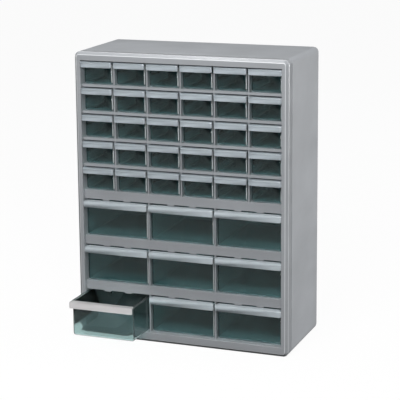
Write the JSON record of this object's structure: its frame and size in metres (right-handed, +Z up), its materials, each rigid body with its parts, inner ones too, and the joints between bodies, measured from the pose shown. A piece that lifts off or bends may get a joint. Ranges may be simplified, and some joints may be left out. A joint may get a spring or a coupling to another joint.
{
  "type": "parts bin cabinet",
  "caption": "Free-standing cabinet of clear pull-out drawers in a grey moulded case, with rows of small drawers above rows of large ones; one large drawer stands part open.",
  "frame": {"origin": "centre of the cabinet's footprint, on the surface that it stands on", "axes": "+Z up, +Y from the drawer fronts to the back wall, +X to the right seen from the front"},
  "size_m": [0.381, 0.2453, 0.502],
  "materials": {
    "frame_grey": "fine moulded texture, light blue-grey",
    "housing_grey": "fine moulded texture, light blue-grey",
    "core_grey": "smooth moulded grey",
    "drawer_clear": "clear polystyrene with a faint cool tint"
  },
  "bodies": {
    "cabinet": {"front_frame": "frame_grey", "housing": "housing_grey", "floor_panel": "core_grey", "ceiling_panel": "core_grey", "left_inner_wall": "core_grey", "right_inner_wall": "core_grey", "small_shelf_1": "core_grey", "small_shelf_2": "core_grey", "small_shelf_3": "core_grey", "small_shelf_4": "core_grey", "large_shelf_1": "core_grey", "large_shelf_2": "core_grey", "large_shelf_3": "core_grey", "small_divider_1": "core_grey", "small_divider_2": "core_grey", "small_divider_3": "core_grey", "small_divider_4": "core_grey", "small_divider_5": "core_grey", "large_divider_1": "core_grey", "large_divider_2": "core_grey"},
    "large_drawer_r1_c1": {"large_drawer_r1_c1": "drawer_clear"},
    "large_drawer_r1_c2": {"large_drawer_r1_c2": "drawer_clear"},
    "large_drawer_r1_c3": {"large_drawer_r1_c3": "drawer_clear"},
    "large_drawer_r2_c1": {"large_drawer_r2_c1": "drawer_clear"},
    "large_drawer_r2_c2": {"large_drawer_r2_c2": "drawer_clear"},
    "large_drawer_r2_c3": {"large_drawer_r2_c3": "drawer_clear"},
    "large_drawer_r3_c1": {"large_drawer_r3_c1": "drawer_clear"},
    "large_drawer_r3_c2": {"large_drawer_r3_c2": "drawer_clear"},
    "large_drawer_r3_c3": {"large_drawer_r3_c3": "drawer_clear"},
    "small_drawer_r1_c1": {"small_drawer_r1_c1": "drawer_clear"},
    "small_drawer_r1_c2": {"small_drawer_r1_c2": "drawer_clear"},
    "small_drawer_r1_c3": {"small_drawer_r1_c3": "drawer_clear"},
    "small_drawer_r1_c4": {"small_drawer_r1_c4": "drawer_clear"},
    "small_drawer_r1_c5": {"small_drawer_r1_c5": "drawer_clear"},
    "small_drawer_r1_c6": {"small_drawer_r1_c6": "drawer_clear"},
    "small_drawer_r2_c1": {"small_drawer_r2_c1": "drawer_clear"},
    "small_drawer_r2_c2": {"small_drawer_r2_c2": "drawer_clear"},
    "small_drawer_r2_c3": {"small_drawer_r2_c3": "drawer_clear"},
    "small_drawer_r2_c4": {"small_drawer_r2_c4": "drawer_clear"},
    "small_drawer_r2_c5": {"small_drawer_r2_c5": "drawer_clear"},
    "small_drawer_r2_c6": {"small_drawer_r2_c6": "drawer_clear"},
    "small_drawer_r3_c1": {"small_drawer_r3_c1": "drawer_clear"},
    "small_drawer_r3_c2": {"small_drawer_r3_c2": "drawer_clear"},
    "small_drawer_r3_c3": {"small_drawer_r3_c3": "drawer_clear"},
    "small_drawer_r3_c4": {"small_drawer_r3_c4": "drawer_clear"},
    "small_drawer_r3_c5": {"small_drawer_r3_c5": "drawer_clear"},
    "small_drawer_r3_c6": {"small_drawer_r3_c6": "drawer_clear"},
    "small_drawer_r4_c1": {"small_drawer_r4_c1": "drawer_clear"},
    "small_drawer_r4_c2": {"small_drawer_r4_c2": "drawer_clear"},
    "small_drawer_r4_c3": {"small_drawer_r4_c3": "drawer_clear"},
    "small_drawer_r4_c4": {"small_drawer_r4_c4": "drawer_clear"},
    "small_drawer_r4_c5": {"small_drawer_r4_c5": "drawer_clear"},
    "small_drawer_r4_c6": {"small_drawer_r4_c6": "drawer_clear"},
    "small_drawer_r5_c1": {"small_drawer_r5_c1": "drawer_clear"},
    "small_drawer_r5_c2": {"small_drawer_r5_c2": "drawer_clear"},
    "small_drawer_r5_c3": {"small_drawer_r5_c3": "drawer_clear"},
    "small_drawer_r5_c4": {"small_drawer_r5_c4": "drawer_clear"},
    "small_drawer_r5_c5": {"small_drawer_r5_c5": "drawer_clear"},
    "small_drawer_r5_c6": {"small_drawer_r5_c6": "drawer_clear"}
  },
  "joints": [
    {"name": "large_drawer_r1_c1_slide", "type": "slide", "parent": "cabinet", "child": "large_drawer_r1_c1", "axis": [0, -1, 0], "range_m": [0, 0.1524]},
    {"name": "large_drawer_r1_c2_slide", "type": "slide", "parent": "cabinet", "child": "large_drawer_r1_c2", "axis": [0, -1, 0], "range_m": [0, 0.1524]},
    {"name": "large_drawer_r1_c3_slide", "type": "slide", "parent": "cabinet", "child": "large_drawer_r1_c3", "axis": [0, -1, 0], "range_m": [0, 0.1524]},
    {"name": "large_drawer_r2_c1_slide", "type": "slide", "parent": "cabinet", "child": "large_drawer_r2_c1", "axis": [0, -1, 0], "range_m": [0, 0.1524]},
    {"name": "large_drawer_r2_c2_slide", "type": "slide", "parent": "cabinet", "child": "large_drawer_r2_c2", "axis": [0, -1, 0], "range_m": [0, 0.1524]},
    {"name": "large_drawer_r2_c3_slide", "type": "slide", "parent": "cabinet", "child": "large_drawer_r2_c3", "axis": [0, -1, 0], "range_m": [0, 0.1524]},
    {"name": "large_drawer_r3_c1_slide", "type": "slide", "parent": "cabinet", "child": "large_drawer_r3_c1", "axis": [0, -1, 0], "range_m": [-0.068, 0.0844]},
    {"name": "large_drawer_r3_c2_slide", "type": "slide", "parent": "cabinet", "child": "large_drawer_r3_c2", "axis": [0, -1, 0], "range_m": [0, 0.1524]},
    {"name": "large_drawer_r3_c3_slide", "type": "slide", "parent": "cabinet", "child": "large_drawer_r3_c3", "axis": [0, -1, 0], "range_m": [0, 0.1524]},
    {"name": "small_drawer_r1_c1_slide", "type": "slide", "parent": "cabinet", "child": "small_drawer_r1_c1", "axis": [0, -1, 0], "range_m": [0, 0.1527]},
    {"name": "small_drawer_r1_c2_slide", "type": "slide", "parent": "cabinet", "child": "small_drawer_r1_c2", "axis": [0, -1, 0], "range_m": [0, 0.1527]},
    {"name": "small_drawer_r1_c3_slide", "type": "slide", "parent": "cabinet", "child": "small_drawer_r1_c3", "axis": [0, -1, 0], "range_m": [0, 0.1527]},
    {"name": "small_drawer_r1_c4_slide", "type": "slide", "parent": "cabinet", "child": "small_drawer_r1_c4", "axis": [0, -1, 0], "range_m": [0, 0.1527]},
    {"name": "small_drawer_r1_c5_slide", "type": "slide", "parent": "cabinet", "child": "small_drawer_r1_c5", "axis": [0, -1, 0], "range_m": [0, 0.1527]},
    {"name": "small_drawer_r1_c6_slide", "type": "slide", "parent": "cabinet", "child": "small_drawer_r1_c6", "axis": [0, -1, 0], "range_m": [0, 0.1527]},
    {"name": "small_drawer_r2_c1_slide", "type": "slide", "parent": "cabinet", "child": "small_drawer_r2_c1", "axis": [0, -1, 0], "range_m": [0, 0.1527]},
    {"name": "small_drawer_r2_c2_slide", "type": "slide", "parent": "cabinet", "child": "small_drawer_r2_c2", "axis": [0, -1, 0], "range_m": [0, 0.1527]},
    {"name": "small_drawer_r2_c3_slide", "type": "slide", "parent": "cabinet", "child": "small_drawer_r2_c3", "axis": [0, -1, 0], "range_m": [0, 0.1527]},
    {"name": "small_drawer_r2_c4_slide", "type": "slide", "parent": "cabinet", "child": "small_drawer_r2_c4", "axis": [0, -1, 0], "range_m": [0, 0.1527]},
    {"name": "small_drawer_r2_c5_slide", "type": "slide", "parent": "cabinet", "child": "small_drawer_r2_c5", "axis": [0, -1, 0], "range_m": [0, 0.1527]},
    {"name": "small_drawer_r2_c6_slide", "type": "slide", "parent": "cabinet", "child": "small_drawer_r2_c6", "axis": [0, -1, 0], "range_m": [0, 0.1527]},
    {"name": "small_drawer_r3_c1_slide", "type": "slide", "parent": "cabinet", "child": "small_drawer_r3_c1", "axis": [0, -1, 0], "range_m": [0, 0.1527]},
    {"name": "small_drawer_r3_c2_slide", "type": "slide", "parent": "cabinet", "child": "small_drawer_r3_c2", "axis": [0, -1, 0], "range_m": [0, 0.1527]},
    {"name": "small_drawer_r3_c3_slide", "type": "slide", "parent": "cabinet", "child": "small_drawer_r3_c3", "axis": [0, -1, 0], "range_m": [0, 0.1527]},
    {"name": "small_drawer_r3_c4_slide", "type": "slide", "parent": "cabinet", "child": "small_drawer_r3_c4", "axis": [0, -1, 0], "range_m": [0, 0.1527]},
    {"name": "small_drawer_r3_c5_slide", "type": "slide", "parent": "cabinet", "child": "small_drawer_r3_c5", "axis": [0, -1, 0], "range_m": [0, 0.1527]},
    {"name": "small_drawer_r3_c6_slide", "type": "slide", "parent": "cabinet", "child": "small_drawer_r3_c6", "axis": [0, -1, 0], "range_m": [0, 0.1527]},
    {"name": "small_drawer_r4_c1_slide", "type": "slide", "parent": "cabinet", "child": "small_drawer_r4_c1", "axis": [0, -1, 0], "range_m": [0, 0.1527]},
    {"name": "small_drawer_r4_c2_slide", "type": "slide", "parent": "cabinet", "child": "small_drawer_r4_c2", "axis": [0, -1, 0], "range_m": [0, 0.1527]},
    {"name": "small_drawer_r4_c3_slide", "type": "slide", "parent": "cabinet", "child": "small_drawer_r4_c3", "axis": [0, -1, 0], "range_m": [0, 0.1527]},
    {"name": "small_drawer_r4_c4_slide", "type": "slide", "parent": "cabinet", "child": "small_drawer_r4_c4", "axis": [0, -1, 0], "range_m": [0, 0.1527]},
    {"name": "small_drawer_r4_c5_slide", "type": "slide", "parent": "cabinet", "child": "small_drawer_r4_c5", "axis": [0, -1, 0], "range_m": [0, 0.1527]},
    {"name": "small_drawer_r4_c6_slide", "type": "slide", "parent": "cabinet", "child": "small_drawer_r4_c6", "axis": [0, -1, 0], "range_m": [0, 0.1527]},
    {"name": "small_drawer_r5_c1_slide", "type": "slide", "parent": "cabinet", "child": "small_drawer_r5_c1", "axis": [0, -1, 0], "range_m": [0, 0.1527]},
    {"name": "small_drawer_r5_c2_slide", "type": "slide", "parent": "cabinet", "child": "small_drawer_r5_c2", "axis": [0, -1, 0], "range_m": [0, 0.1527]},
    {"name": "small_drawer_r5_c3_slide", "type": "slide", "parent": "cabinet", "child": "small_drawer_r5_c3", "axis": [0, -1, 0], "range_m": [0, 0.1527]},
    {"name": "small_drawer_r5_c4_slide", "type": "slide", "parent": "cabinet", "child": "small_drawer_r5_c4", "axis": [0, -1, 0], "range_m": [0, 0.1527]},
    {"name": "small_drawer_r5_c5_slide", "type": "slide", "parent": "cabinet", "child": "small_drawer_r5_c5", "axis": [0, -1, 0], "range_m": [0, 0.1527]},
    {"name": "small_drawer_r5_c6_slide", "type": "slide", "parent": "cabinet", "child": "small_drawer_r5_c6", "axis": [0, -1, 0], "range_m": [0, 0.1527]}
  ]
}
